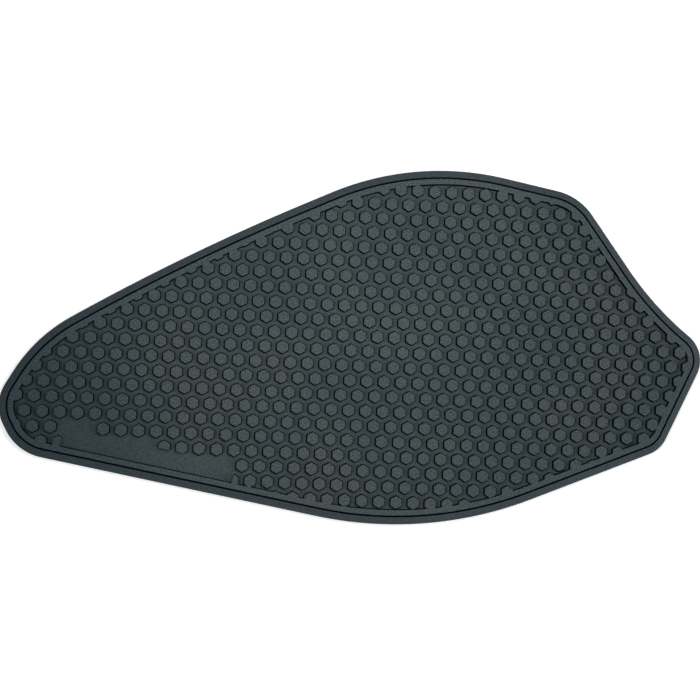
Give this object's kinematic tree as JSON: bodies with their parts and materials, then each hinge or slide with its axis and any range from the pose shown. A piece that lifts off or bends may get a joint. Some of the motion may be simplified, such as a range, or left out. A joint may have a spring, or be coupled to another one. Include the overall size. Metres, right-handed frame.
{
  "type": "motorcycle tank pad",
  "caption": "Flat stick-on rubber grip pad for one side of a motorcycle tank, with a bevelled rim, a groove, a raised band and a field of hexagonal studs.",
  "frame": {"origin": "middle of the outline's box, on the flat back", "axes": "+X along the length from the narrow nose to the broad tail, +Y across towards the crest, +Z out of the back towards the studs"},
  "size_m": [0.2242, 0.1144, 0.003],
  "materials": {
    "rubber": "satin-matt moulded rubber with a fine grain"
  },
  "bodies": {
    "root": {"tank_pad": "rubber"}
  },
  "joints": []
}
